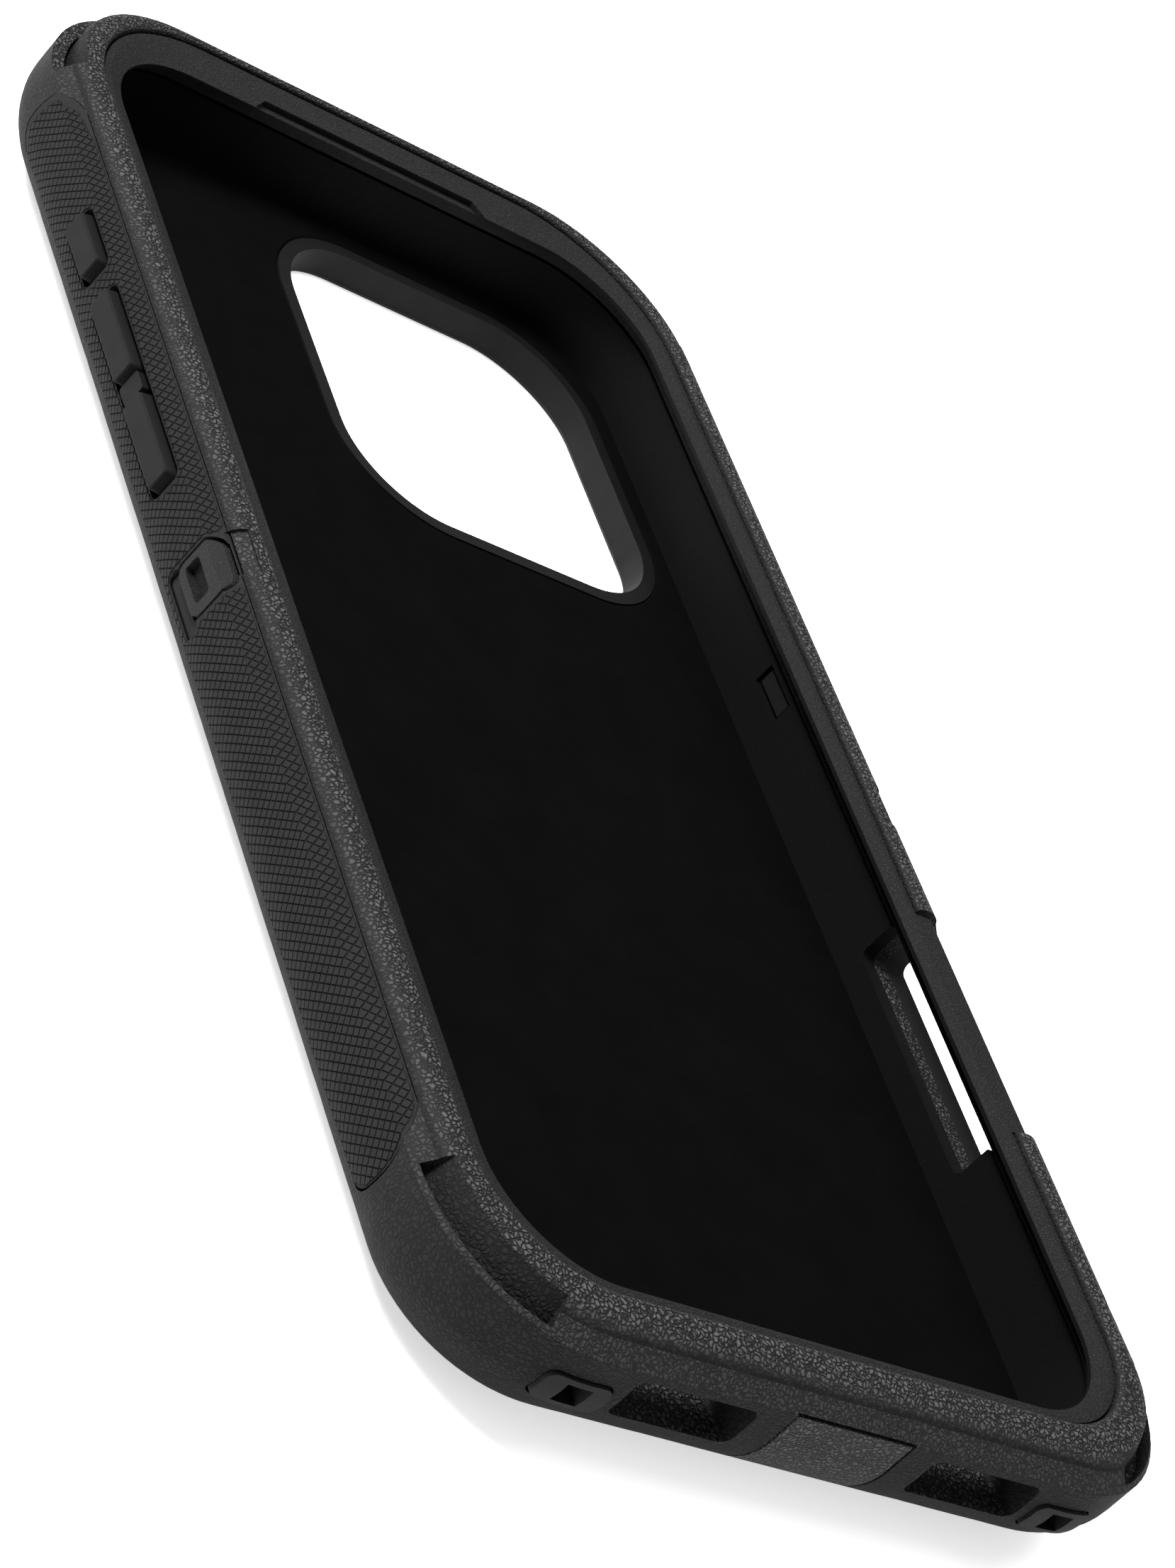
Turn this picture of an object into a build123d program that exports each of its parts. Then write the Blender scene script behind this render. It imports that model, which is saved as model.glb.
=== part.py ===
"""Rugged phone case: a soft outer cover moulded round a hard back shell, with a
lift-out front frame, grip panels, press-through buttons, latches and a port flap.

Millimetres. The case lies on its back: +Z points out of the screen side, +Y to
the earpiece end, +X to the right as seen from the front. The origin is the
centre of the back face.
"""
import os
from math import cos, pi, sin

from build123d import *

# ---- the phone that the pocket is made for
PHONE_HALF_W, PHONE_HALF_L, PHONE_T = 35.75, 74.8, 8.25

# ---- heights above the back face
SKIN_TOP = 1.2            # soft skin under the shell
SHELL_FLOOR = 3.1         # upper face of the shell's floor
POCKET_FLOOR = 3.7        # upper face of the liner pad, where the phone lies
GLASS_Z = POCKET_FLOOR + PHONE_T
SHELL_TOP = 10.5
ROUND_START = 7.8         # the walls stand straight above this height
SHOULDER_Z = 11.2         # edge between the outer walls and the sloping shoulder
RIM_BASE = 12.5           # foot of the rounded rim
CREST_Z = 13.6            # top of the rim

# ---- outlines: half width, low end, high end, low and high corner radius
WALL = (41.9, -81.4, 81.7, 14.8, 19.0)
RIM_FOOT = (40.4, -79.9, 81.2, 13.3, 16.9)
RIM_SIDE = (39.4, -78.9, 80.65, 12.3, 16.2) # where the rim stands free at the high corners
CREST = (38.2, -77.7, 79.75, 11.1, 15.3)
SEAM = (36.9, -75.75, 79.25, 11.6, 16.0)    # outer edge of the front frame
STRIP = (36.3, -75.15, 78.55, 11.2, 15.5)   # inner edge of the frame's flat strip
LIP = (34.95, -74.35, 74.35, 11.0, 11.6)    # opening over the glass
SHELL = (37.65, -76.7, 76.7, 13.4, 13.4)
POCKET = (36.05, -75.1, 75.1, 11.9, 11.9)
BACK_INSET = 9.3          # how far the walls curl in under the case
SEAM_GAP = 0.2            # between the front frame and the cover's rim
MOUTH_REACH, MOUTH_DROP = 1.2, 0.5        # rounding of the rim towards the front frame

# ---- front frame
LIP_TOP, STRIP_Z = 12.5, 13.02
LIP_UNDER = GLASS_Z + 0.1
SKIRT_BOTTOM = SHELL_TOP + 0.35
SEAL_W = 0.6
EARPIECE_HALF_W, EARPIECE_DEPTH = 15.0, 1.7

# ---- features of the side walls
WALL_X = WALL[0]
GRIP_T = 2.5
GRIP_LOW_END = ((-63.4, 4.6), (-64.7, 5.8), (-65.1, 7.6), (-64.8, 9.6), (-63.9, 11.1),
                (-62.6, 11.9), (-61.0, 12.45), (-59.0, 13.4))      # (y, z) of the arched ends
GRIP_HIGH_END = ((61.6, 4.6), (62.9, 5.8), (63.3, 7.4), (63.0, 9.4), (62.2, 11.1),
                 (60.4, 12.1), (57.6, 12.6), (54.5, 13.4))
PAD_Z0, PAD_Z1 = 7.25, 10.35              # faces of the button pads
PAD_PROUD = 0.9
PAD_GAP = 0.35
PAD_DEPTH = 1.9                           # how deep a pad's pocket is cut
PAD_BACK = 0.7                            # room behind a pad
ACTION_Y = (38.7, 46.0)
VOLUME_DOWN_Y = (10.7, 21.6)
VOLUME_UP_Y = (24.6, 35.4)
SIDE_BUTTON_Y = (9.0, 26.0)
STEM_H, STEM_L = 1.7, 5.0
TOUCH_GAP_Y = (-41.6, -14.7)              # open stretch of the right wall
TOUCH_GAP_Z = 6.2
LATCH_Y, LATCH_Z = (-4.4, 1.7), (7.0, 12.0)
LATCH_GAP, LATCH_ROOM = 0.3, 0.85         # gap round the tongue, and room behind it
LATCH_T = 1.7
LATCH_SLOT_Y, LATCH_SLOT_Z = (-3.2, 1.0), (7.95, 9.9)
LATCH_SLOT_DEPTH = 0.9
THUMB_Y, THUMB_Z, THUMB_X = (-5.4, 2.05), (5.5, 7.4), 41.3   # shallow recess under the tongue
SCOOP_Y, SCOOP_X = (-3.2, 2.05), 38.9     # shallow scoop over the tongue, into the rim

# ---- features of the bottom wall
WALL_Y = WALL[1]
SPEAKER_X, SPEAKER_Z = (10.1, 23.0), (5.85, 10.35)
FLAP_HALF_W, FLAP_GAP = 6.5, 0.3
FLAP_Y, FLAP_Z = -79.5, (0.9, 11.0)
PORT_HALF_W, PORT_Z = 5.6, (4.9, 10.5)
PLUG_HALF_W, PLUG_HALF_H, PLUG_TIP_Y = 4.4, 1.4, -77.3
PORT_CENTRE_Z = POCKET_FLOOR + PHONE_T / 2
ANCHOR_X, ANCHOR_Z = (24.2, 31.0), (5.3, 8.9)
ANCHOR_HOLE_W, ANCHOR_HOLE_H = 2.6, 2.2
ANCHOR_PROUD = 0.3
ANCHOR_T = 1.6

# ---- corner bumpers: ledges at the high corners, thin walls at the low ones
LEDGE_Z, LEDGE_X, LEDGE_Y = 11.1, 27.0, 65.8        # height, and where the ledge starts
LEDGE_T = 1.4                                       # between the wall and the moat
MOAT_BOTTOM = 9.6
LOW_MOAT_START, LOW_MOAT_SWEEP = -66.5, 67.0

# ---- back: camera window and magnets
CAMERA_CENTRE, CAMERA_SIZE, CAMERA_R = (11.9, 50.7), 39.6, 10.5
CAMERA_RING_W = 1.5
MAGNET_CENTRE = (0.0, -3.0)
MAGNET_R0, MAGNET_R1, MAGNET_COUNT = 23.2, 27.2, 18
MAGNET_Z0, MAGNET_Z1 = 1.7, 2.6
KEY_MAGNET = (5.0, 18.0, -42.5)           # width, length and centre of the bar
LANDING_R, LANDING_DEPTH = 30.0, 0.35


def outline(shape, z):
    """Rectangle at height z with its low and its high corners rounded."""
    half_w, low, high, low_r, high_r = shape
    face = Rectangle(2 * half_w, high - low)
    face = fillet(face.vertices().group_by(Axis.Y)[0], low_r)
    face = fillet(face.vertices().group_by(Axis.Y)[-1], high_r)
    return Pos(0, (low + high) / 2, z) * face


def slab(shape, z0, z1):
    """Solid between two heights with one of the outlines."""
    return extrude(outline(shape, z0), z1 - z0)


def grown(shape, by):
    """The same outline moved outwards by a distance."""
    half_w, low, high, low_r, high_r = shape
    return half_w + by, low - by, high + by, low_r + by, high_r + by


def block(x0, x1, y0, y1, z0, z1):
    return Pos((x0 + x1) / 2, (y0 + y1) / 2, (z0 + z1) / 2) * Box(x1 - x0, y1 - y0, z1 - z0)


def side_prism(y, z, x0, x1, radius):
    """Block along X whose outline in the side wall has rounded corners."""
    face = Plane.YZ * Pos((y[0] + y[1]) / 2, (z[0] + z[1]) / 2) * RectangleRounded(
        y[1] - y[0], z[1] - z[0], radius)
    return Pos(x0, 0, 0) * extrude(face, x1 - x0)


def end_prism(x, z, y0, y1, radius):
    """Block along Y whose outline in the end wall has rounded corners."""
    face = Plane.XZ * Pos((x[0] + x[1]) / 2, (z[0] + z[1]) / 2) * RectangleRounded(
        x[1] - x[0], z[1] - z[0], radius)
    return Pos(0, y1, 0) * extrude(face, y1 - y0)


def mirrored(solid):
    """The same shape on the other side of the case."""
    return mirror(solid, about=Plane.YZ)


def wall_body(by=0.0):
    """Outer walls with their curled-in back edge, up to the shoulder."""
    steps = 5
    sections = []
    for i in range(steps + 1):
        angle = (pi / 2) * (1 - i / steps)
        inset = BACK_INSET * (1 - cos(angle))
        sections.append(outline(grown(WALL, by - inset), ROUND_START * (1 - sin(angle))))
    return loft(sections) + slab(grown(WALL, by), ROUND_START, SHOULDER_Z)


def between(a, b, share):
    """Outline part of the way from one outline to another."""
    return tuple(p + (q - p) * share for p, q in zip(a, b))


def rounded_rise(foot, crest, z0, z1, start=0.0):
    """Solid whose side rounds over from the foot outline to the crest outline."""
    steps = 5
    sections = []
    for i in range(steps + 1):
        angle = start + (pi / 2 - start) * i / steps
        share = (cos(start) - cos(angle)) / cos(start)
        height = (sin(angle) - sin(start)) / (1 - sin(start))
        sections.append(outline(between(foot, crest, share), z0 + (z1 - z0) * height))
    return loft(sections)


def envelope():
    """Outside of the closed case: walls, sloping shoulder and rounded rim."""
    shoulder = loft([outline(WALL, SHOULDER_Z), outline(RIM_FOOT, RIM_BASE)], ruled=True)
    return wall_body() + shoulder + rounded_rise(RIM_FOOT, CREST, RIM_BASE, CREST_Z, start=0.35)


def shell_block():
    shell = slab(SHELL, SKIN_TOP, SHELL_TOP)
    return fillet(shell.edges().group_by(Axis.Z)[0], 2.4)


def rim_mouth():
    """Rounding of the rim's inner top edge."""
    inner, wide = grown(SEAM, SEAM_GAP), grown(SEAM, SEAM_GAP + MOUTH_REACH)
    steps = 4
    sections = []
    for i in range(steps + 1):
        angle = (pi / 2) * i / steps
        height = CREST_Z - MOUTH_DROP + (MOUTH_DROP + 0.06) * sin(angle)
        sections.append(outline(between(inner, wide, 1 - cos(angle)), height))
    return loft(sections)


def camera_window(by, z0, z1):
    size = CAMERA_SIZE + 2 * by
    face = Pos(*CAMERA_CENTRE, z0) * RectangleRounded(size, size, CAMERA_R + by)
    return extrude(face, z1 - z0)


def high_corner_cut(side):
    """Ledge on top of a high corner's bumper, with a moat between it and the rim."""
    rim = slab(RIM_SIDE, MOAT_BOTTOM - 1, RIM_BASE)
    rim += rounded_rise(RIM_SIDE, grown(CREST, 0.4), RIM_BASE, CREST_Z + 0.1)
    ledge = block(-WALL_X - 2, -LEDGE_X, LEDGE_Y, WALL[2] + 2, LEDGE_Z, CREST_Z + 1)
    moat = slab(grown(WALL, -LEDGE_T), MOAT_BOTTOM, CREST_Z + 1)
    moat &= block(-WALL_X, -LEDGE_X, LEDGE_Y, WALL[2], MOAT_BOTTOM, CREST_Z + 1)
    cut = ledge + moat - rim
    return mirrored(cut) if side > 0 else cut


def low_corner_moat(side):
    """Curved trough behind a low corner's thin wall; its floor slopes up to the rim."""
    radius = WALL[3]
    profile = Plane.XZ * Polyline((radius - 0.45, MOAT_BOTTOM + 0.3), (radius - 0.45, CREST_Z + 1),
                                  (radius - 2.8, CREST_Z + 1), (radius - 2.6, CREST_Z - 0.2),
                                  (radius - 1.0, MOAT_BOTTOM + 0.3), close=True)
    trough = revolve(make_face(profile), Axis.Z, LOW_MOAT_SWEEP)
    trough = Pos(WALL_X - radius, WALL[1] + radius, 0) * Rot(0, 0, LOW_MOAT_START) * trough
    return trough if side > 0 else mirrored(trough)


def pad_pocket(y, side):
    """Hole in the side wall that a button pad sits in, with its stem hole."""
    gap_y = (y[0] - PAD_GAP, y[1] + PAD_GAP)
    gap_z = (PAD_Z0 - PAD_GAP, PAD_Z1 + PAD_GAP)
    pocket = side_prism(gap_y, gap_z, WALL_X - PAD_DEPTH, WALL_X + 3, 0.9)
    middle_y, middle_z = sum(y) / 2, sum((PAD_Z0, PAD_Z1)) / 2
    half_l, half_h = STEM_L / 2 + PAD_GAP, STEM_H / 2 + PAD_GAP
    stem = block(PHONE_HALF_W, WALL_X, middle_y - half_l, middle_y + half_l,
                 middle_z - half_h, middle_z + half_h)
    hole = pocket + stem
    return hole if side > 0 else mirrored(hole)


def button(y, side):
    """Tapered pad with a stem that reaches through to the phone's own button."""
    face = Plane.YZ * Pos(sum(y) / 2, (PAD_Z0 + PAD_Z1) / 2) * RectangleRounded(
        y[1] - y[0], PAD_Z1 - PAD_Z0, 0.7)
    depth = PAD_DEPTH + PAD_PROUD - PAD_BACK
    pad = Pos(WALL_X - PAD_DEPTH + PAD_BACK, 0, 0) * extrude(face, depth, taper=7)
    pad = fillet(pad.edges().group_by(Axis.X)[-1], 0.2)
    middle_y, middle_z = sum(y) / 2, (PAD_Z0 + PAD_Z1) / 2
    stem = block(PHONE_HALF_W + 0.6, WALL_X - PAD_DEPTH + PAD_BACK + 0.5, middle_y - STEM_L / 2,
                 middle_y + STEM_L / 2, middle_z - STEM_H / 2, middle_z + STEM_H / 2)
    solid = pad + stem
    return solid if side > 0 else mirrored(solid)


def volume_pocket():
    """One long pocket for both volume pads, with a stem hole for each."""
    both = pad_pocket((VOLUME_DOWN_Y[0], VOLUME_UP_Y[1]), -1)
    return both + pad_pocket(VOLUME_DOWN_Y, -1) + pad_pocket(VOLUME_UP_Y, -1)


def latch_recess(side):
    """Pocket round the tongue, a thumb recess under it and a scoop over it."""
    y = (LATCH_Y[0] - LATCH_GAP, LATCH_Y[1] + LATCH_GAP)
    z = (LATCH_Z[0] - LATCH_GAP, LATCH_Z[1] + LATCH_GAP)
    recess = side_prism(y, z, WALL_X - LATCH_T - LATCH_ROOM, WALL_X + 3, 1.3)
    recess += side_prism(THUMB_Y, THUMB_Z, THUMB_X, WALL_X + 3, 0.6)
    scoop = Plane.XZ * Polyline((WALL_X + 2, z[1]), (RIM_FOOT[0], z[1]), (SCOOP_X, CREST_Z - 0.3),
                                (SCOOP_X, CREST_Z + 1), (WALL_X + 2, CREST_Z + 1), close=True)
    scoop = extrude(make_face(scoop), SCOOP_Y[1] - SCOOP_Y[0], dir=(0, 1, 0))
    recess += Pos(0, SCOOP_Y[0], 0) * scoop
    return recess if side > 0 else mirrored(recess)


def latch(side):
    """Flexing tongue with a blind slot, flush with the wall and the shoulder."""
    tongue = envelope() & side_prism(LATCH_Y, LATCH_Z, WALL_X - LATCH_T, WALL_X + 1, 1.2)
    tongue -= side_prism(LATCH_SLOT_Y, LATCH_SLOT_Z, WALL_X - LATCH_SLOT_DEPTH, WALL_X + 1, 0.4)
    return tongue if side > 0 else mirrored(tongue)


def grip_region(side, gap=0.0):
    """Part of the wall that a grip panel takes up, with its two arched ends."""
    low = [(y + gap, z + gap) for y, z in GRIP_LOW_END]
    high = [(y - gap, z + gap) for y, z in GRIP_HIGH_END]
    face = make_face([Spline(*low), Spline(*high), Line(low[0], high[0]), Line(low[-1], high[-1])])
    region = Pos(WALL_X - GRIP_T, 0, 0) * extrude(Plane.YZ * face, GRIP_T + 2)
    region -= slab(grown(RIM_FOOT, gap / 3), RIM_BASE - gap, CREST_Z + 1)
    return region if side > 0 else mirrored(region)


def touch_gap():
    """Stretch of the right wall that is cut away above the back edge."""
    y0, y1 = TOUCH_GAP_Y
    return side_prism((y0, y1), (TOUCH_GAP_Z, CREST_Z + 4), POCKET[0] - 0.5, WALL_X + 4, 1.0)


def anchor_region(side, by=0.0):
    x = (ANCHOR_X[0] - by, ANCHOR_X[1] + by)
    z = (ANCHOR_Z[0] - by, ANCHOR_Z[1] + by)
    region = end_prism(x, z, WALL_Y - 2, WALL_Y + 9, 1.0)
    return region if side > 0 else mirrored(region)


def anchor_holes(side):
    """Square hole for a lanyard cord: in through the plate, out through the back."""
    middle_x, middle_z = sum(ANCHOR_X) / 2, sum(ANCHOR_Z) / 2
    half_w, half_h = ANCHOR_HOLE_W / 2, ANCHOR_HOLE_H / 2
    inward = block(middle_x - half_w, middle_x + half_w, WALL_Y - 2, WALL_Y + 4.4,
                   middle_z - half_h, middle_z + half_h)
    down = block(middle_x - half_w, middle_x + half_w, WALL_Y + 2.9, WALL_Y + 4.4, -1, middle_z)
    return inward + down if side > 0 else mirrored(inward + down)


def speaker_hole(side):
    hole = end_prism(SPEAKER_X, SPEAKER_Z, WALL_Y - 2, -PHONE_HALF_L + 0.5, 0.9)
    return hole if side > 0 else mirrored(hole)


def port_hole():
    return end_prism((-PORT_HALF_W, PORT_HALF_W), PORT_Z, WALL_Y - 2, -PHONE_HALF_L + 0.5, 1.2)


def flap_recess(by):
    return block(-FLAP_HALF_W - by, FLAP_HALF_W + by, WALL_Y - 2, FLAP_Y + by,
                 FLAP_Z[0] - 3 * by, FLAP_Z[1] + by)


def magnet_arc(r0, r1, z0, z1, gap_deg):
    """Arc segments, one in each equal sector of the ring."""
    sector = 360 / MAGNET_COUNT
    profile = Plane.XZ * Pos((r0 + r1) / 2, (z0 + z1) / 2) * Rectangle(r1 - r0, z1 - z0)
    arc = revolve(profile, Axis.Z, sector - gap_deg)
    return [Pos(*MAGNET_CENTRE, 0) * Rot(0, 0, sector * i) * arc for i in range(MAGNET_COUNT)]


def magnet_ring(z0, z1, extra=0.0):
    cx, cy = MAGNET_CENTRE
    ring = Cylinder(MAGNET_R1 + extra, z1 - z0) - Cylinder(MAGNET_R0 - extra, z1 - z0 + 1)
    return Pos(cx, cy, (z0 + z1) / 2) * ring


def key_magnet(z0, z1, by=0.0):
    width, length, y = KEY_MAGNET
    return block(-width / 2 - by, width / 2 + by, y - length / 2 - by, y + length / 2 + by,
                 z0, z1)


# ---------------------------------------------------------------- the pieces

def build_outer_cover():
    cover = envelope()
    cover -= shell_block()
    cover -= slab(grown(SEAM, SEAM_GAP), SHELL_TOP, CREST_Z + 1)
    cover -= rim_mouth()
    for side in (-1, 1):
        cover -= high_corner_cut(side)
        cover -= low_corner_moat(side)
        cover -= grip_region(side)
        cover -= latch_recess(side)
        cover -= anchor_region(side) - wall_body(ANCHOR_PROUD - ANCHOR_T)
        cover -= anchor_holes(side)
        cover -= speaker_hole(side)
    cover -= volume_pocket()
    cover -= pad_pocket(ACTION_Y, -1)
    cover -= pad_pocket(SIDE_BUTTON_Y, 1)
    cover -= touch_gap()
    cover -= port_hole()
    cover -= flap_recess(FLAP_GAP)
    cover -= camera_window(CAMERA_RING_W, -1, SKIN_TOP + 1)
    cover -= Pos(*MAGNET_CENTRE, 0) * Cylinder(LANDING_R, 2 * LANDING_DEPTH)
    return cover


def build_back_shell():
    shell = shell_block() - slab(POCKET, SHELL_FLOOR, SHELL_TOP + 1)
    for side in (-1, 1):
        shell -= speaker_hole(side)
    shell -= volume_pocket()
    shell -= pad_pocket(ACTION_Y, -1)
    shell -= pad_pocket(SIDE_BUTTON_Y, 1)
    shell -= touch_gap()
    shell -= port_hole()
    shell -= camera_window(CAMERA_RING_W, 0, SHELL_FLOOR + 1)
    shell -= magnet_ring(MAGNET_Z0, SHELL_FLOOR + 1)
    shell -= key_magnet(MAGNET_Z0, SHELL_FLOOR + 1)
    return shell


def build_grip(side):
    """Grip panel: the wall's own shape inside the panel's outline."""
    grip = envelope() & grip_region(side, gap=0.15)
    grip -= latch_recess(side)
    if side < 0:
        grip -= volume_pocket()
        grip -= pad_pocket(ACTION_Y, -1)
    else:
        grip -= pad_pocket(SIDE_BUTTON_Y, 1)
        grip -= touch_gap()
    return grip


def build_front_frame():
    """Ring that laps over the edge of the glass, with a skirt round the phone."""
    frame = slab(SEAM, SKIRT_BOTTOM, STRIP_Z)
    frame -= slab(POCKET, SKIRT_BOTTOM - 1, LIP_UNDER)
    frame -= slab(grown(LIP, SEAL_W), SKIRT_BOTTOM - 1, LIP_TOP - 0.1)
    frame -= loft([outline(LIP, LIP_TOP), outline(STRIP, STRIP_Z)], ruled=True)
    frame -= slab(LIP, SKIRT_BOTTOM - 1, STRIP_Z + 1)
    y0, y1 = TOUCH_GAP_Y
    wing = block(SEAM[0] - 0.3, RIM_FOOT[0] - 0.9, y0 + 0.3, y1 - 0.3, SHELL_TOP + 1.2, STRIP_Z)
    wing = fillet(wing.edges().filter_by(Axis.Y).group_by(Axis.X)[-1].group_by(Axis.Z)[-1], 0.7)
    return frame + wing - earpiece_notch()


def earpiece_notch():
    """Opening in the top lip that lets the phone's earpiece sound out."""
    half = EARPIECE_HALF_W
    base, far = LIP[2] - 1, LIP[2] + EARPIECE_DEPTH
    shape = Polyline((-half - 1, base), (half + 1, base), (half, far - 1.2), (half - 1.2, far),
                     (-half + 1.2, far), (-half, far - 1.2), close=True)
    return extrude(Pos(0, 0, LIP_UNDER) * make_face(shape), 3)


def build_lip_seal():
    """Soft edge of the frame that lies round the glass."""
    seal = slab(grown(LIP, SEAL_W), LIP_UNDER, LIP_TOP - 0.1)
    seal -= slab(LIP, LIP_UNDER - 1, LIP_TOP + 1)
    return seal - earpiece_notch()


def build_liner_pad():
    pad = slab(grown(POCKET, -0.35), SHELL_FLOOR, POCKET_FLOOR)
    return pad - camera_window(CAMERA_RING_W, 0, POCKET_FLOOR + 1)


def build_camera_ring():
    ring = camera_window(CAMERA_RING_W, 0, POCKET_FLOOR) - camera_window(0, -1, POCKET_FLOOR + 1)
    mouth = ring.faces().sort_by(Axis.Z)[0].inner_wires()[0].edges()
    return chamfer(mouth, 0.5)


def build_anchor(side):
    """Hard plate round a lanyard hole, curved with the corner and a little proud."""
    plate = wall_body(ANCHOR_PROUD) - wall_body(ANCHOR_PROUD - ANCHOR_T)
    return (plate & anchor_region(side, by=-0.15)) - anchor_holes(side)


def build_volume_bridge():
    """Lower web between the two volume pads, fixed to the cover."""
    y = (VOLUME_DOWN_Y[1] + 0.35, VOLUME_UP_Y[0] - 0.35)
    web = side_prism(y, (PAD_Z0 + 0.2, PAD_Z1 - 0.2), WALL_X - PAD_DEPTH, WALL_X + 0.35, 0.3)
    return mirrored(web)


def build_port_flap():
    """Soft door over the port; it swings down on its top edge."""
    return wall_body() & flap_recess(0)


def build_port_plug():
    """Boss on the back of the flap that fills the mouth of the port hole."""
    z = (PORT_CENTRE_Z - PLUG_HALF_H, PORT_CENTRE_Z + PLUG_HALF_H)
    return end_prism((-PLUG_HALF_W, PLUG_HALF_W), z, FLAP_Y, PLUG_TIP_Y, 1.3)


def build_parts():
    return {
        "outer_cover": build_outer_cover(),
        "back_shell": build_back_shell(),
        "left_grip": build_grip(-1),
        "right_grip": build_grip(1),
        "liner_pad": build_liner_pad(),
        "camera_ring": build_camera_ring(),
        "magnet_segments": Compound(magnet_arc(MAGNET_R0, MAGNET_R1, MAGNET_Z0, MAGNET_Z1, 0.6)),
        "magnet_backing": magnet_ring(MAGNET_Z1, SHELL_FLOOR),
        "alignment_magnet": key_magnet(MAGNET_Z0, SHELL_FLOOR),
        "left_anchor_plate": build_anchor(-1),
        "right_anchor_plate": build_anchor(1),
        "volume_bridge": build_volume_bridge(),
        "front_frame": build_front_frame(),
        "lip_seal": build_lip_seal(),
        "action_button": button(ACTION_Y, -1),
        "volume_up_pad": button(VOLUME_UP_Y, -1),
        "volume_down_pad": button(VOLUME_DOWN_Y, -1),
        "side_button": button(SIDE_BUTTON_Y, 1),
        "port_flap": build_port_flap(),
        "port_plug": build_port_plug(),
        "left_latch": latch(-1),
        "right_latch": latch(1),
    }


def main():
    os.makedirs("parts", exist_ok=True)
    for node, solid in build_parts().items():
        export_step(solid, f"parts/{node}.step")


if __name__ == "__main__":
    main()
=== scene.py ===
"""Looks of the rugged phone case: materials, the grips' diamond tiles, studio and camera.

Metres, in the CAD frame: +X right, +Y the earpiece end, +Z out of the screen side.
"""
from math import asin, cos, hypot, radians, sin

import bmesh
import bpy
from mathutils import Matrix, Vector


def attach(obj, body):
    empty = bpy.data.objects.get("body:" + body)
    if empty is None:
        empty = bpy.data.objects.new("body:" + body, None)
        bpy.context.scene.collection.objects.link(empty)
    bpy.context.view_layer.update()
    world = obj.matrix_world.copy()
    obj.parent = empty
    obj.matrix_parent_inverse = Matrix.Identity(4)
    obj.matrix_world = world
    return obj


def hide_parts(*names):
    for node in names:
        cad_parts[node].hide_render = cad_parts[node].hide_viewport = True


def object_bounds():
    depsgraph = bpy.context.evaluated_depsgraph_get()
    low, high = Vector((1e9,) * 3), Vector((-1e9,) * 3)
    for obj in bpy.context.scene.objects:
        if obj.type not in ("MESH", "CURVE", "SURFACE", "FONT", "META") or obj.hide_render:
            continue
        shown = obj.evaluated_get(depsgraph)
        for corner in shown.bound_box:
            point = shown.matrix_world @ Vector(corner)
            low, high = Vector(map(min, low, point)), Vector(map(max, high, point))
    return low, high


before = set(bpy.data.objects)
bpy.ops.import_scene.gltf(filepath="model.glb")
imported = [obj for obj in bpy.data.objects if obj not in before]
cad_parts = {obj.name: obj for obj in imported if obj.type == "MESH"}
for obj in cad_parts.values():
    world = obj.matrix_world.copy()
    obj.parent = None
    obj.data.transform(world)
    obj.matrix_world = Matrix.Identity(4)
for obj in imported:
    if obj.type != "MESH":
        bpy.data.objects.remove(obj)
CAD_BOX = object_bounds()
MM = 0.001


# ------------------------------------------------------------------ shader helpers

UP_FROM, UP_TO = 0.64, 1.0      # how level a face is before it counts as looking up
PEBBLE_EDGE = 0.3               # share of a pebble that slopes down to its crease
DRIFT = 1.5                     # how far, in grain sizes, the creases wander
TOOTH_SIZE, TOOTH_SHARE = 0.35, 0.45      # fine tooth, against the grain's size and height
PEBBLE_TOP = 1.08               # a pebble's top, against the colour it is given: a little painted light on the tops
PATCH_MM, PATCH_TONE = 12.0, (0.86, 1.14)     # uneven tone: its size and range
WEAR_MM, WEAR_SHEEN = 2.5, (0.13, 0.27)       # uneven sheen: its size and added roughness
POLISH = 0.2                    # how much smoother the handled upper faces are


def add(tree, kind, inputs=None, **settings):
    """New node with its settings, input values and links."""
    node = tree.nodes.new(kind)
    for key, value in settings.items():
        setattr(node, key, value)
    for key, value in (inputs or {}).items():
        if isinstance(value, bpy.types.NodeSocket):
            tree.links.new(value, node.inputs[key])
        else:
            node.inputs[key].default_value = value
    return node


def maths(tree, operation, a, b):
    return add(tree, "ShaderNodeMath", {0: a, 1: b}, operation=operation).outputs[0]


def scaled(tree, value, low, high):
    """A value from 0..1 moved to low..high."""
    return add(tree, "ShaderNodeMapRange", {"Value": value, "To Min": low, "To Max": high}).outputs[0]


def noise(tree, place, size_mm, detail=2.0):
    """Noise from 0 to 1 whose features are about size_mm across."""
    return add(tree, "ShaderNodeTexNoise", {"Vector": place, "Scale": 1 / (size_mm * MM),
                                            "Detail": detail, "Roughness": 0.55}).outputs["Fac"]


def new_material(name, roughness, specular=0.5):
    mat = bpy.data.materials.new(name)
    mat.use_nodes = True
    tree = mat.node_tree
    shader = tree.nodes["Principled BSDF"]
    shader.inputs["Roughness"].default_value = roughness
    shader.inputs["Specular IOR Level"].default_value = specular
    shader.inputs["IOR"].default_value = 1.35
    place = add(tree, "ShaderNodeTexCoord").outputs["Object"]
    return mat, tree, shader, place


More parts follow.
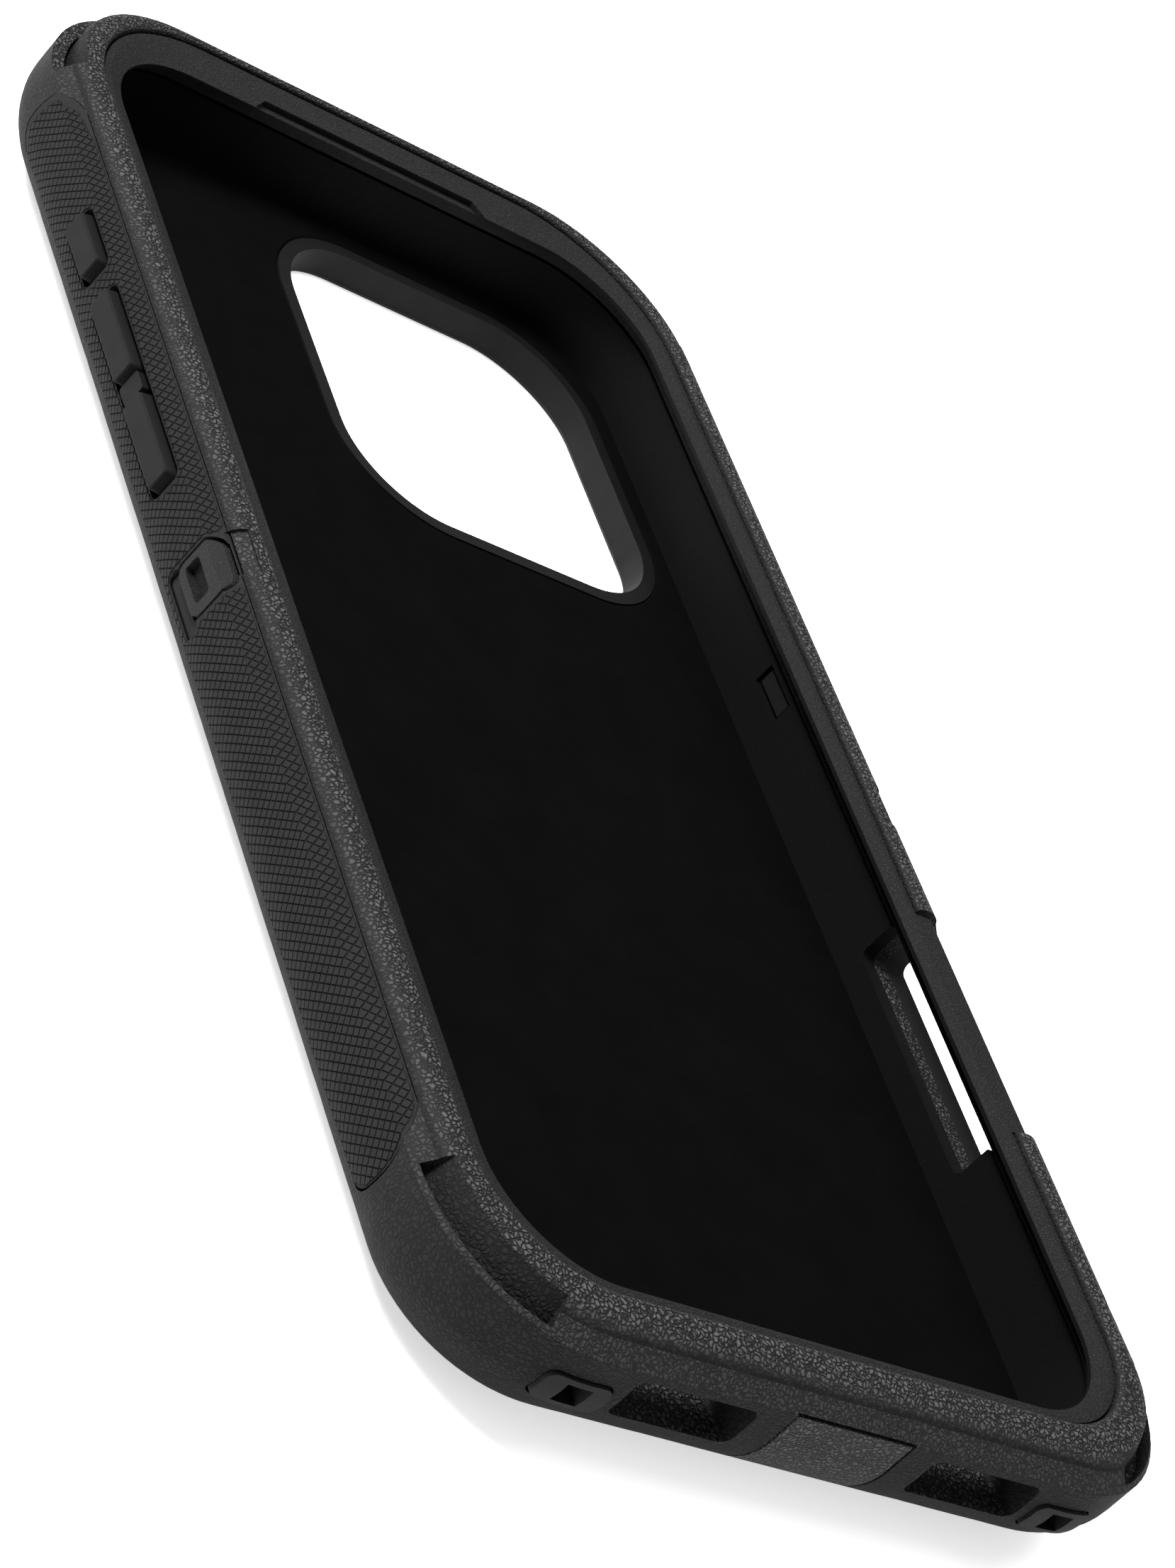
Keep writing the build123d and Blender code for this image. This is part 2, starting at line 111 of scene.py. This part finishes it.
def moulded(name, colour, roughness, grain_mm, depth_mm, crease_shade=0.55, bevel_mm=0.0,
            specular=0.35, painted_top_light=1.0, side=0.45):
    """Moulded rubber or plastic: wandering pebbles parted by creases of painted shade, with a fine
    tooth.

    Faces that look up carry the grain and its painted crease shade at full depth, the walls `side` of
    both; faces that look up are also painted paler by the top-light factor, as painted light from above.
    """
    mat, tree, shader, place = new_material(name, roughness, specular)
    drift = add(tree, "ShaderNodeTexNoise", {"Vector": place, "Scale": 1 / (DRIFT * grain_mm * MM),
                                             "Detail": 2.0}).outputs["Color"]
    centred = add(tree, "ShaderNodeVectorMath", {0: drift, 1: (0.5, 0.5, 0.5)},
                  operation="SUBTRACT").outputs[0]
    shift = add(tree, "ShaderNodeVectorMath", {0: centred, "Scale": DRIFT * grain_mm * MM},
                operation="SCALE").outputs[0]
    bent = add(tree, "ShaderNodeVectorMath", {0: place, 1: shift}, operation="ADD").outputs[0]
    crease = add(tree, "ShaderNodeTexVoronoi", {"Vector": bent, "Scale": 1 / (grain_mm * MM)},
                 feature="DISTANCE_TO_EDGE").outputs["Distance"]
    pebble = add(tree, "ShaderNodeMapRange", {"Value": crease, "From Min": 0.0, "From Max": PEBBLE_EDGE},
                 interpolation_type="SMOOTHSTEP").outputs[0]
    tooth = noise(tree, place, TOOTH_SIZE * grain_mm, 3.0)
    height = maths(tree, "ADD", pebble, maths(tree, "MULTIPLY", tooth, TOOTH_SHARE))
    facing = add(tree, "ShaderNodeNewGeometry").outputs["Normal"]
    lift = add(tree, "ShaderNodeSeparateXYZ", {0: facing}).outputs["Z"]
    up = add(tree, "ShaderNodeMapRange", {"Value": lift, "From Min": UP_FROM,
                                          "From Max": UP_TO}).outputs[0]
    bump = add(tree, "ShaderNodeBump", {"Height": height, "Distance": depth_mm * MM,
                                        "Strength": scaled(tree, up, side, 1.0)})
    if bevel_mm:
        soft = add(tree, "ShaderNodeBevel", {"Radius": bevel_mm * MM}, samples=4)
        tree.links.new(soft.outputs[0], bump.inputs["Normal"])
    tree.links.new(bump.outputs[0], shader.inputs["Normal"])
    # painted shade in the creases, full on faces that look up and `side` of it on the walls; pebble tops
    # get a little painted light
    dark = add(tree, "ShaderNodeMix", {0: up, 2: 1 - side * (1 - crease_shade), 3: crease_shade}).outputs[0]
    shade_of_pebble = add(tree, "ShaderNodeMix", {0: pebble, 2: dark, 3: PEBBLE_TOP}).outputs[0]
    patches = scaled(tree, noise(tree, place, PATCH_MM), *PATCH_TONE)
    # painted light from above: faces that look up are painted paler by the top-light factor
    raised = scaled(tree, up, 1.0, painted_top_light)
    tone = maths(tree, "MULTIPLY", maths(tree, "MULTIPLY", shade_of_pebble, patches), raised)
    mixed = add(tree, "ShaderNodeVectorMath", {0: colour, "Scale": tone}, operation="SCALE")
    tree.links.new(mixed.outputs[0], shader.inputs["Base Color"])
    mottled = scaled(tree, noise(tree, place, WEAR_MM), *WEAR_SHEEN)
    matte = scaled(tree, up, roughness, roughness - POLISH)
    tree.links.new(maths(tree, "ADD", matte, mottled), shader.inputs["Roughness"])
    return mat


def deep_grooves(name, colour):
    """Rubber with painted shade down in the narrow grooves between raised tiles: ambient occlusion
    paints them darker.
    """
    mat, tree, shader, place = new_material(name, 0.8, 0.06)
    # painted shade: ambient occlusion to the fourth power darkens the grooves, and random tone mottles
    # it
    groove_shade_ao = add(tree, "ShaderNodeAmbientOcclusion", {"Distance": 0.25 * MM}, samples=6)
    tone = maths(tree, "POWER", groove_shade_ao.outputs["AO"], 4.0)
    mottled = maths(tree, "MULTIPLY", tone, scaled(tree, noise(tree, place, 0.3, 3.0), 0.75, 1.25))
    mixed = add(tree, "ShaderNodeVectorMath", {0: colour, "Scale": mottled}, operation="SCALE")
    tree.links.new(mixed.outputs[0], shader.inputs["Base Color"])
    return mat


def nap_fabric(name, colour):
    """Short-nap lining: soft mottling and very fine fibres that take in light."""
    mat, tree, shader, place = new_material(name, 1.0, 0.02)
    fibre = noise(tree, place, 0.12, 4.0)
    brushed = noise(tree, place, 6.0, 3.0)
    bump = add(tree, "ShaderNodeBump", {"Height": fibre, "Strength": 0.8, "Distance": 0.08 * MM})
    tree.links.new(bump.outputs[0], shader.inputs["Normal"])
    tone = maths(tree, "ADD", scaled(tree, fibre, 0.4, 1.1), scaled(tree, brushed, -0.15, 0.5))
    mixed = add(tree, "ShaderNodeVectorMath", {0: colour, "Scale": tone}, operation="SCALE")
    tree.links.new(mixed.outputs[0], shader.inputs["Base Color"])
    return mat


def plated_metal(name, colour):
    """Plated magnet steel with faint brushing."""
    mat, tree, shader, place = new_material(name, 0.35)
    shader.inputs["Metallic"].default_value = 1.0
    brushed = noise(tree, place, 0.2, 4.0)
    tree.links.new(scaled(tree, brushed, 0.25, 0.45), shader.inputs["Roughness"])
    mixed = add(tree, "ShaderNodeVectorMath", {0: colour, "Scale": scaled(tree, brushed, 0.9, 1.05)},
                operation="SCALE")
    tree.links.new(mixed.outputs[0], shader.inputs["Base Color"])
    return mat


# ------------------------------------------------------------------ materials of the CAD nodes

COVER_BLACK = (0.0106, 0.0106, 0.0109)
FRAME_BLACK = (0.0065, 0.0065, 0.0067)
GROOVE_GREY = (0.0125, 0.0125, 0.0129)
TILE_BLACK = (0.0062, 0.0062, 0.0064)
BUTTON_BLACK = (0.0036, 0.0036, 0.0037)
LATCH_BLACK = (0.0085, 0.0085, 0.0088)
ANCHOR_BLACK = (0.008, 0.008, 0.0082)
FLAP_GREY = (0.04, 0.04, 0.041)
JET = (0.003, 0.003, 0.0031)
LINER_JET = (0.0016, 0.0016, 0.0017)
STEEL = (0.55, 0.55, 0.56)

# crease and top-light values: painted shade in the grain's creases and painted light on faces that look
# up
cover_rubber = moulded("cover_rubber", COVER_BLACK, 0.6, 0.48, 0.17, crease_shade=0.06,
                       bevel_mm=0.1, specular=0.14, painted_top_light=4.8)
frame_plastic = moulded("frame_plastic", FRAME_BLACK, 0.6, 0.28, 0.06, crease_shade=0.3,
                        bevel_mm=0.1, specular=0.2, painted_top_light=1.6)
grip_floor = deep_grooves("grip_floor", GROOVE_GREY)
grip_rubber = moulded("grip_rubber", TILE_BLACK, 0.6, 0.16, 0.012, specular=0.2)
button_plastic = moulded("button_plastic", BUTTON_BLACK, 0.6, 0.12, 0.005, crease_shade=0.9,
                         bevel_mm=0.12, specular=0.2)
latch_plastic = moulded("latch_plastic", LATCH_BLACK, 0.6, 0.3, 0.06, bevel_mm=0.15,
                        specular=0.25, side=0.8)
anchor_plastic = moulded("anchor_plastic", ANCHOR_BLACK, 0.6, 0.14, 0.012, bevel_mm=0.08,
                         specular=0.25)
flap_rubber = moulded("flap_rubber", FLAP_GREY, 0.55, 0.42, 0.14, crease_shade=0.15,
                      bevel_mm=0.1, specular=0.3, side=1.0)
shell_plastic = moulded("shell_plastic", JET, 0.7, 0.3, 0.012, specular=0.1)
seal_rubber = moulded("seal_rubber", JET, 0.6, 0.2, 0.005, specular=0.15)
ring_plastic = moulded("ring_plastic", JET, 0.5, 0.14, 0.006, specular=0.2)
film_plastic = moulded("film_plastic", JET, 0.5, 0.4, 0.004)
liner_fabric = nap_fabric("liner_fabric", LINER_JET)
magnet_metal = plated_metal("magnet_metal", STEEL)

MATERIAL_OF = {
    "outer_cover": cover_rubber, "back_shell": shell_plastic, "left_grip": grip_floor,
    "right_grip": grip_floor, "liner_pad": liner_fabric, "camera_ring": ring_plastic,
    "magnet_segments": magnet_metal, "magnet_backing": film_plastic,
    "alignment_magnet": magnet_metal, "left_anchor_plate": anchor_plastic,
    "right_anchor_plate": anchor_plastic, "volume_bridge": button_plastic,
    "front_frame": frame_plastic, "lip_seal": seal_rubber, "action_button": button_plastic,
    "volume_up_pad": button_plastic, "volume_down_pad": button_plastic,
    "side_button": button_plastic, "port_flap": flap_rubber, "port_plug": flap_rubber,
    "left_latch": latch_plastic, "right_latch": latch_plastic,
}
for node_name, material in MATERIAL_OF.items():
    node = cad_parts[node_name]
    node.data.materials.clear()
    node.data.materials.append(material)


# ------------------------------------------------------------------ the grips' diamond tiles

WALL_X, FOOT_X = 41.9, 40.4               # outer wall, and the rim's foot above it
ROUND_Z, CREASE_Z, FOOT_Z = 7.8, 11.2, 12.5
CURL_IN = 9.3                             # how far the wall curls in below ROUND_Z
LOW_END = ((4.6, -63.4), (5.8, -64.7), (7.6, -65.1), (9.6, -64.8), (11.1, -63.9),
           (11.9, -62.6), (12.45, -61.0), (13.4, -59.0))      # (z, y) of the arched ends
HIGH_END = ((4.6, 61.6), (5.8, 62.9), (7.4, 63.3), (9.4, 63.0), (11.1, 62.2),
            (12.1, 60.4), (12.6, 57.6), (13.4, 54.5))
PITCH = 1.04                              # lattice spacing along the case
TILE_GAP, TILE_BEVEL = 0.05, 0.02
TILE_H, TILE_H_SHOULDER = 0.09, 0.07
TILE_ROOT = -0.06                         # tiles start this far under the panel's surface
LEAST_AREA = 0.03                         # smaller scraps at the edges are left out
LEAST_TOP, BEVEL_REACH = 0.3, 1.4         # smallest top against its base; bevel at a tile's corners
SAME_POINT, ON_CUT = 1e-3, 1e-5           # distances that count as none
BORDER = 0.75                             # smooth band inside the panel's high end
LOW_MARGIN, TOP_MARGIN, CURL_MARGIN = 0.2, 0.22, 0.15
PANEL_START, PANEL_LENGTH = -65.5, 130
STRIP = 0.02                              # tiles keep this far inside the section's two ends


def arc_angle(z):
    return asin(1 - z / ROUND_Z)


ARC_STEPS = 24
ARC = [(WALL_X - CURL_IN * (1 - cos(a)), ROUND_Z * (1 - sin(a)))
       for a in (arc_angle(LOW_END[0][0]) * (1 - i / ARC_STEPS) for i in range(ARC_STEPS + 1))]
PROFILE = ARC + [(WALL_X, CREASE_Z), (FOOT_X, FOOT_Z)]
LENGTHS = [0.0]
for (xa, za), (xb, zb) in zip(PROFILE, PROFILE[1:]):
    LENGTHS.append(LENGTHS[-1] + hypot(xb - xa, zb - za))
CREASE_S = LENGTHS[-2]


def on_wall(s):
    """Point and outward normal of the wall's section at arc length s."""
    i = 0
    while i < len(LENGTHS) - 2 and s > LENGTHS[i + 1]:
        i += 1
    (xa, za), (xb, zb) = PROFILE[i], PROFILE[i + 1]
    span = LENGTHS[i + 1] - LENGTHS[i]
    t = (s - LENGTHS[i]) / span
    return xa + (xb - xa) * t, za + (zb - za) * t, (zb - za) / span, -(xb - xa) / span


def rounded_box_gap(y, z, box_y, box_z, radius):
    """Distance outside a rounded rectangle in the side wall; negative inside."""
    dy = abs(y - sum(box_y) / 2) - (box_y[1] - box_y[0]) / 2 + radius
    dz = abs(z - sum(box_z) / 2) - (box_z[1] - box_z[0]) / 2 + radius
    return hypot(max(dy, 0), max(dz, 0)) + min(max(dy, dz), 0) - radius


def end_at(curve, z):
    """Height-to-length curve of a panel end: its y at a height, and its slope there."""
    for (za, ya), (zb, yb) in zip(curve, curve[1:]):
        if z <= zb:
            break
    slope = (yb - ya) / (zb - za)
    return ya + (z - za) * slope, slope


def tile_room(y, s, holes):
    """How far a point lies inside the tiled area."""
    z = on_wall(s)[1]
    low, low_slope = end_at(LOW_END, z)
    high, high_slope = end_at(HIGH_END, z)
    ends = [(y - low) / hypot(1, low_slope) - LOW_MARGIN, (high - y) / hypot(1, high_slope) - BORDER]
    top = LENGTHS[-1] - TOP_MARGIN - s
    return min(ends + [top, s - CURL_MARGIN] + [rounded_box_gap(y, z, *hole) for hole in holes])


def cut(polygon, room):
    """The part of a polygon where room() is positive, with one straight cut."""
    kept = []
    for a, b in zip(polygon, polygon[1:] + polygon[:1]):
        ra, rb = room(*a), room(*b)
        if ra > 0:
            kept.append(a)
        if (ra > 0) != (rb > 0):
            t = ra / (ra - rb)
            kept.append((a[0] + (b[0] - a[0]) * t, a[1] + (b[1] - a[1]) * t))
    return kept


def inset(polygon, by):
    """Convex polygon with every edge moved inwards."""
    result = polygon
    for a, b in zip(polygon, polygon[1:] + polygon[:1]):
        length = hypot(b[0] - a[0], b[1] - a[1])
        if length < 1e-6:
            continue
        nx, ny = -(b[1] - a[1]) / length, (b[0] - a[0]) / length
        result = cut(result, lambda p, q: (p - a[0]) * nx + (q - a[1]) * ny - by)
        if len(result) < 3:
            return []
    return result


def area(polygon):
    return 0.5 * sum(a[0] * b[1] - b[0] * a[1] for a, b in zip(polygon, polygon[1:] + polygon[:1]))


def without_repeats(polygon):
    """Polygon without its repeated points."""
    kept = []
    for p in polygon:
        if not kept or hypot(p[0] - kept[-1][0], p[1] - kept[-1][1]) > SAME_POINT:
            kept.append(p)
    if len(kept) > 1 and hypot(kept[0][0] - kept[-1][0], kept[0][1] - kept[-1][1]) <= SAME_POINT:
        kept.pop()
    return kept


def add_tile(mesh, polygon):
    """Low frustum over a polygon, in (along, up the wall, height) space."""
    base = without_repeats(inset(polygon, TILE_GAP))
    if len(base) < 3 or area(base) < LEAST_AREA:
        return
    middle = sum(p[1] for p in base) / len(base)
    height = TILE_H if middle < CREASE_S else TILE_H_SHOULDER
    centre = (sum(p[0] for p in base) / len(base), middle)
    reach = min(hypot(p[0] - centre[0], p[1] - centre[1]) for p in base)
    shrink = max(LEAST_TOP, 1 - TILE_BEVEL * BEVEL_REACH / reach)
    low = [mesh.verts.new((p[0], p[1], TILE_ROOT)) for p in base]
    high = [mesh.verts.new((centre[0] + (p[0] - centre[0]) * shrink,
                            centre[1] + (p[1] - centre[1]) * shrink, height)) for p in base]
    mesh.faces.new(high)
    mesh.faces.new(low[::-1])
    for i in range(len(base)):
        j = (i + 1) % len(base)
        mesh.faces.new((low[i], low[j], high[j], high[i]))


def grip_tiles(name, side, holes):
    """Raised diamonds of one grip panel, laid over the wall's section."""
    mesh = bmesh.new()
    half = PITCH / 2
    rows = int(LENGTHS[-1] / half) + 2
    columns = int(PANEL_LENGTH / PITCH)

    def room(y, s):
        return tile_room(y, s, holes)

    for row in range(rows):
        for column in range(columns):
            y = PANEL_START + (column + 0.5 * (row % 2)) * PITCH
            s = row * half
            diamond = [(y - half, s), (y, s - half), (y + half, s), (y, s + half)]
            diamond = cut(diamond, lambda p, q: q - STRIP)
            diamond = cut(diamond, lambda p, q: LENGTHS[-1] - STRIP - q)
            if len(diamond) > 2:
                diamond = cut(diamond, room)
            if len(diamond) > 2:
                add_tile(mesh, diamond)
    # cuts across the tiles let them follow the curl and the crease
    for level in LENGTHS[1:-1:3] + [CREASE_S]:
        bmesh.ops.bisect_plane(mesh, geom=mesh.verts[:] + mesh.edges[:] + mesh.faces[:],
                               dist=ON_CUT, plane_co=(0, level, 0), plane_no=(0, 1, 0))
    for vertex in mesh.verts:
        y, s, height = vertex.co
        x, z, nx, nz = on_wall(s)
        vertex.co = (side * (x + nx * height) * MM, y * MM, (z + nz * height) * MM)
    bmesh.ops.recalc_face_normals(mesh, faces=mesh.faces[:])
    data = bpy.data.meshes.new(name)
    mesh.to_mesh(data)
    mesh.free()
    piece = bpy.data.objects.new(name, data)
    bpy.context.scene.collection.objects.link(piece)
    piece.data.materials.append(grip_rubber)
    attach(piece, "case_body")
    return piece


PAD_GAP_Z, PAD_GAP_R = (6.75, 10.85), 1.1           # the buttons' gaps in the tiles
VOLUME_GAP = ((10.15, 35.95), PAD_GAP_Z, PAD_GAP_R)
ACTION_GAP = ((38.15, 46.55), PAD_GAP_Z, PAD_GAP_R)
SIDE_GAP = ((8.45, 26.55), PAD_GAP_Z, PAD_GAP_R)
TOUCH_OPENING = ((-41.9, -14.4), (5.9, 17.0), 1.2)
LATCH_HOLES = [((-4.95, 2.25), (6.3, 12.4), 1.3), ((-5.6, 2.25), (5.3, 7.6), 0.7),
               ((-3.4, 2.25), (11.0, 14.0), 0.2)]
grip_tiles("left_grip_tiles", -1, [ACTION_GAP, VOLUME_GAP] + LATCH_HOLES)
grip_tiles("right_grip_tiles", 1, [SIDE_GAP, TOUCH_OPENING] + LATCH_HOLES)


# ------------------------------------------------------------------ the liner's napped sheet

LINER_HALF, LINER_R = (35.67, 74.72), 11.52
LINER_Z = (3.12, 3.7)                     # bonded to the shell's floor; the phone lies on top
LINER_ROLL = 0.42                         # how far its pressed edges roll over
WINDOW_CENTRE, WINDOW_HALF, WINDOW_R = (11.9, 50.7), (21.34, 21.34), 12.04


def rounded_outline(centre, half, radius, steps=14):
    """Points round a rounded rectangle, counter-clockwise."""
    points = []
    for i, (sx, sy) in enumerate(((1, 1), (-1, 1), (-1, -1), (1, -1))):
        for step in range(steps + 1):
            a = radians(90 * (i + step / steps))
            points.append((centre[0] + sx * (half[0] - radius) + radius * cos(a),
                           centre[1] + sy * (half[1] - radius) + radius * sin(a)))
    return points


def liner_sheet(name):
    """Thin soft sheet with rolled edges, open at the camera window."""
    mesh = bmesh.new()
    low, high = LINER_Z
    turns = [radians(15 * i) for i in range(7)]
    profile = [(0.0, low)] + [(LINER_ROLL * (1 - cos(a)), high - LINER_ROLL * (1 - sin(a)))
                              for a in turns]
    ends = [[], []]
    for centre, half, radius, way in (((0, 0), LINER_HALF, LINER_R, 1),
                                      (WINDOW_CENTRE, WINDOW_HALF, WINDOW_R, -1)):
        rings = []
        for inward, z in profile:
            by = way * inward
            outline = rounded_outline(centre, (half[0] - by, half[1] - by), radius - by)
            rings.append([mesh.verts.new((x * MM, y * MM, z * MM)) for x, y in outline])
        for below, above in zip(rings, rings[1:]):
            for i in range(len(below)):
                j = (i + 1) % len(below)
                mesh.faces.new((below[i], below[j], above[j], above[i]))
        for which, ring in ((0, rings[0]), (1, rings[-1])):
            ends[which] += [mesh.edges.get((ring[i - 1], ring[i])) for i in range(len(ring))]
    for edges in ends:
        bmesh.ops.triangle_fill(mesh, edges=edges, use_beauty=True)
    bmesh.ops.recalc_face_normals(mesh, faces=mesh.faces[:])
    for face in mesh.faces:
        face.smooth = len(face.verts) == 4
    data = bpy.data.meshes.new(name)
    mesh.to_mesh(data)
    mesh.free()
    sheet = bpy.data.objects.new(name, data)
    bpy.context.scene.collection.objects.link(sheet)
    sheet.data.materials.append(liner_fabric)
    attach(sheet, "case_body")
    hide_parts("liner_pad")
    return sheet


liner_sheet("liner_sheet")


# ------------------------------------------------------------------ studio and camera

FLOOR_SIZE, FLOOR_WHITE, FLOOR_GLOW = 8.0, (0.96, 0.96, 0.96), 0.62
SKY_RISE, SKY_GLOW = (0.05, 0.85), (0.14, 0.6)      # heights in the sky, and its light there


def studio_plane(name, size, z, colour, roughness, glow=0.0):
    """Level square of the studio, lit from within by glow."""
    data = bpy.data.meshes.new(name)
    half = size / 2
    data.from_pydata([(-half, -half, z), (half, -half, z), (half, half, z), (-half, half, z)],
                     [], [(0, 1, 2, 3)])
    plane = bpy.data.objects.new(name, data)
    bpy.context.scene.collection.objects.link(plane)
    mat, _, shader, _ = new_material(name, roughness, 0.2)
    shader.inputs["Base Color"].default_value = (*colour, 1.0)
    shader.inputs["Emission Color"].default_value = (1.0, 1.0, 1.0, 1.0)
    shader.inputs["Emission Strength"].default_value = glow
    data.materials.append(mat)
    return plane


def soft_box(name, place, target, width, height, watts):
    """Area light that faces its target."""
    light = bpy.data.lights.new(name, "AREA")
    light.shape, light.size, light.size_y, light.energy = "RECTANGLE", width, height, watts
    lamp = bpy.data.objects.new(name, light)
    lamp.location = place
    lamp.rotation_euler = (Vector(target) - Vector(place)).to_track_quat("-Z", "Y").to_euler()
    bpy.context.scene.collection.objects.link(lamp)
    return lamp


studio_plane("floor", FLOOR_SIZE, CAD_BOX[0][2], FLOOR_WHITE, 0.9, glow=FLOOR_GLOW)
world = bpy.data.worlds.new("studio")
world.use_nodes = True
sky = world.node_tree
aim = add(sky, "ShaderNodeTexCoord").outputs["Generated"]
climb = add(sky, "ShaderNodeSeparateXYZ", {0: aim}).outputs["Z"]
brightness = add(sky, "ShaderNodeMapRange", {"Value": climb, "From Min": SKY_RISE[0],
                                             "From Max": SKY_RISE[1], "To Min": SKY_GLOW[0],
                                             "To Max": SKY_GLOW[1]},
                 interpolation_type="SMOOTHSTEP").outputs[0]
sky.links.new(brightness, sky.nodes["Background"].inputs["Strength"])
sky.nodes["Background"].inputs["Color"].default_value = (1.0, 1.0, 1.0, 1.0)
bpy.context.scene.world = world
soft_box("key", (-0.5, 0.3, 0.75), (0, 0, 0), 0.4, 0.4, 24.0)
soft_box("fill", (0.3, 0.1, 0.9), (0, 0, 0), 0.6, 0.6, 5.0)

CAMERA_TARGET = Vector((0.0005, -0.0088, 0.0091))
CAMERA_DISTANCE, CAMERA_AZIMUTH, CAMERA_ELEVATION, CAMERA_ROLL = 0.4, 225.02, 26.28, 44.87
SENSOR_MM, LENS_MM = 36.0, 103.1
azimuth, elevation = radians(CAMERA_AZIMUTH), radians(CAMERA_ELEVATION)
back = Vector((cos(azimuth) * cos(elevation), sin(azimuth) * cos(elevation), sin(elevation)))
right = Vector((0, 0, 1)).cross(back).normalized()
up = back.cross(right)
roll = radians(CAMERA_ROLL)
turned_right = right * cos(roll) + up * sin(roll)
turned_up = up * cos(roll) - right * sin(roll)
camera_data = bpy.data.cameras.new("camera")
camera_data.sensor_fit, camera_data.sensor_height, camera_data.lens = "VERTICAL", SENSOR_MM, LENS_MM
camera_data.clip_start, camera_data.clip_end = 0.01, 20.0
camera = bpy.data.objects.new("camera", camera_data)
camera.matrix_world = Matrix.Translation(CAMERA_TARGET + back * CAMERA_DISTANCE) @ Matrix(
    (turned_right, turned_up, back)).transposed().to_4x4()
bpy.context.scene.collection.objects.link(camera)
bpy.context.scene.camera = camera
bpy.context.scene.view_settings.view_transform = "Standard"
